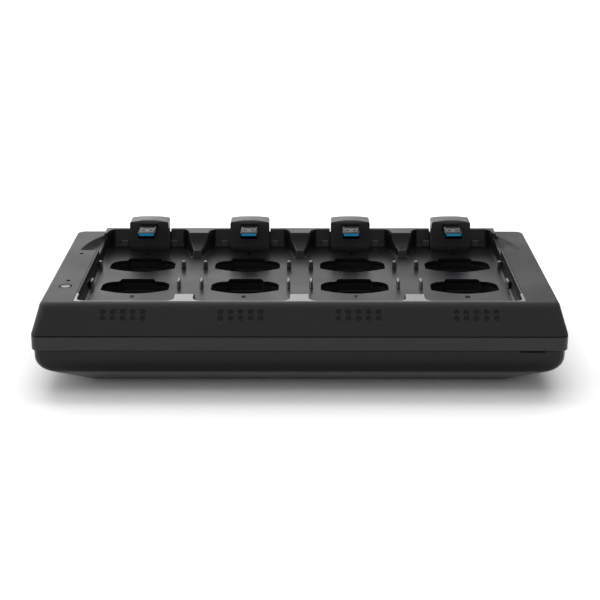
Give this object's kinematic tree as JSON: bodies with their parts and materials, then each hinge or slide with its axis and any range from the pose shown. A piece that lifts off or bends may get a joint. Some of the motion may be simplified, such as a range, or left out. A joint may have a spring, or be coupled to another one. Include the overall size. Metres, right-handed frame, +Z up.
{
  "type": "transmitter charging dock",
  "caption": "Low desktop charging dock for wireless microphone transmitters, with pockets in a sunken deck and tilting data plugs at the back.",
  "frame": {"origin": "middle of the box round the dock, on the surface that it stands on", "axes": "+X to the right along the row of bays, +Y to the back, +Z up; the sloping fascia faces -Y"},
  "size_m": [0.343, 0.184, 0.0686],
  "materials": {
    "cover": "fine moulded texture, satin black",
    "band": "fine moulded texture, satin black",
    "tray": "moulded texture, matte black",
    "deck": "satin black",
    "liner": "matte black",
    "contact": "matte black with gold pins",
    "head": "satin black",
    "plug": "bright stamped steel",
    "tongue": "blue plastic",
    "steel": "zinc plated",
    "light_guide": "smoked, unlit",
    "button": "satin black",
    "board": "green solder mask",
    "jack": "matte black",
    "rubber": "soft matte rubber"
  },
  "bodies": {
    "housing": {"top_cover": "cover", "mid_band": "band", "base_tray": "tray", "bay_deck": "deck", "pocket_liner_1": "liner", "pocket_liner_2": "liner", "pocket_liner_3": "liner", "pocket_liner_4": "liner", "pocket_liner_5": "liner", "pocket_liner_6": "liner", "pocket_liner_7": "liner", "pocket_liner_8": "liner", "head_pin_1": "steel", "light_bar_1": "light_guide", "head_pin_2": "steel", "light_bar_2": "light_guide", "head_pin_3": "steel", "light_bar_3": "light_guide", "head_pin_4": "steel", "light_bar_4": "light_guide", "status_light_front": "light_guide", "status_light_rear": "light_guide", "button_board": "board", "main_board": "board", "dc_jack": "jack", "network_jack": "steel", "rubber_foot_1": "rubber", "rubber_foot_2": "rubber", "rubber_foot_3": "rubber", "rubber_foot_4": "rubber", "base_screw_1": "steel", "base_screw_2": "steel", "base_screw_3": "steel", "base_screw_4": "steel", "base_screw_5": "steel", "base_screw_6": "steel"},
    "link_button": {"link_button": "button"},
    "reset_button": {"reset_button": "button"},
    "contacts_1": {"contact_block_1": "contact"},
    "contacts_2": {"contact_block_2": "contact"},
    "contacts_3": {"contact_block_3": "contact"},
    "contacts_4": {"contact_block_4": "contact"},
    "contacts_5": {"contact_block_5": "contact"},
    "contacts_6": {"contact_block_6": "contact"},
    "contacts_7": {"contact_block_7": "contact"},
    "contacts_8": {"contact_block_8": "contact"},
    "head_1": {"dock_head_1": "head", "usb_shell_1": "plug", "usb_tongue_1": "tongue"},
    "head_2": {"dock_head_2": "head", "usb_shell_2": "plug", "usb_tongue_2": "tongue"},
    "head_3": {"dock_head_3": "head", "usb_shell_3": "plug", "usb_tongue_3": "tongue"},
    "head_4": {"dock_head_4": "head", "usb_shell_4": "plug", "usb_tongue_4": "tongue"}
  },
  "joints": [
    {"name": "link_button_press", "type": "slide", "parent": "housing", "child": "link_button", "axis": [0, 0, -1], "range_m": [0, 0.0008], "stiffness_N_per_m": 800, "springref_m": -0.0004},
    {"name": "reset_button_press", "type": "slide", "parent": "housing", "child": "reset_button", "axis": [0, -1, 0], "range_m": [0, 0.0006], "stiffness_N_per_m": 800, "springref_m": -0.0003},
    {"name": "contacts_1_press", "type": "slide", "parent": "housing", "child": "contacts_1", "axis": [0, 0, -1], "range_m": [0, 0.0012], "stiffness_N_per_m": 400, "springref_m": -0.001},
    {"name": "contacts_2_press", "type": "slide", "parent": "housing", "child": "contacts_2", "axis": [0, 0, -1], "range_m": [0, 0.0012], "stiffness_N_per_m": 400, "springref_m": -0.001},
    {"name": "contacts_3_press", "type": "slide", "parent": "housing", "child": "contacts_3", "axis": [0, 0, -1], "range_m": [0, 0.0012], "stiffness_N_per_m": 400, "springref_m": -0.001},
    {"name": "contacts_4_press", "type": "slide", "parent": "housing", "child": "contacts_4", "axis": [0, 0, -1], "range_m": [0, 0.0012], "stiffness_N_per_m": 400, "springref_m": -0.001},
    {"name": "contacts_5_press", "type": "slide", "parent": "housing", "child": "contacts_5", "axis": [0, 0, -1], "range_m": [0, 0.0012], "stiffness_N_per_m": 400, "springref_m": -0.001},
    {"name": "contacts_6_press", "type": "slide", "parent": "housing", "child": "contacts_6", "axis": [0, 0, -1], "range_m": [0, 0.0012], "stiffness_N_per_m": 400, "springref_m": -0.001},
    {"name": "contacts_7_press", "type": "slide", "parent": "housing", "child": "contacts_7", "axis": [0, 0, -1], "range_m": [0, 0.0012], "stiffness_N_per_m": 400, "springref_m": -0.001},
    {"name": "contacts_8_press", "type": "slide", "parent": "housing", "child": "contacts_8", "axis": [0, 0, -1], "range_m": [0, 0.0012], "stiffness_N_per_m": 400, "springref_m": -0.001},
    {"name": "head_1_tilt", "type": "hinge", "parent": "housing", "child": "head_1", "pos_m": [-0.1116, 0.0818, 0.0404], "axis": [-1, 0, 0], "range_deg": [0, 7], "stiffness_Nm_per_rad": 1.2, "springref_deg": -4.58},
    {"name": "head_2_tilt", "type": "hinge", "parent": "housing", "child": "head_2", "pos_m": [-0.0372, 0.0818, 0.0404], "axis": [-1, 0, 0], "range_deg": [0, 7], "stiffness_Nm_per_rad": 1.2, "springref_deg": -4.58},
    {"name": "head_3_tilt", "type": "hinge", "parent": "housing", "child": "head_3", "pos_m": [0.0372, 0.0818, 0.0404], "axis": [-1, 0, 0], "range_deg": [0, 7], "stiffness_Nm_per_rad": 1.2, "springref_deg": -4.58},
    {"name": "head_4_tilt", "type": "hinge", "parent": "housing", "child": "head_4", "pos_m": [0.1116, 0.0818, 0.0404], "axis": [-1, 0, 0], "range_deg": [0, 7], "stiffness_Nm_per_rad": 1.2, "springref_deg": -4.58}
  ]
}
